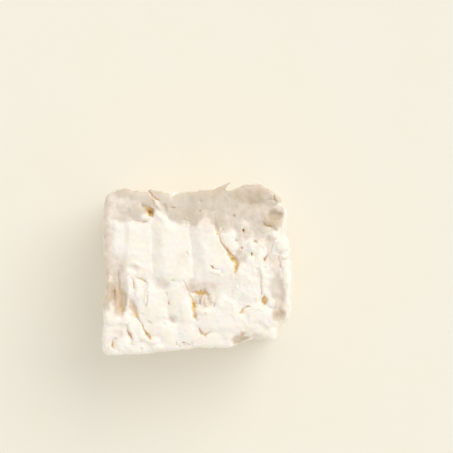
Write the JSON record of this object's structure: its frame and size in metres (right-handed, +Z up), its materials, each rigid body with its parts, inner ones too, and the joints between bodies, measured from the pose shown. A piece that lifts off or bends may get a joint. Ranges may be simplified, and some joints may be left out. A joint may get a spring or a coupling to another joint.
{
  "type": "feta block",
  "caption": "Roughly square block of feta cheese, folded and pitted on top, with one broken corner and straight cut sides, resting on its flat base.",
  "frame": {"origin": "middle of the box around the block, at its flat base", "axes": "+X along the block's long side, +Y to its back, +Z up out of its top face"},
  "size_m": [0.0722, 0.0648, 0.0455],
  "materials": {
    "curd": "moist satin"
  },
  "bodies": {
    "root": {"feta_block": "curd"}
  },
  "joints": []
}
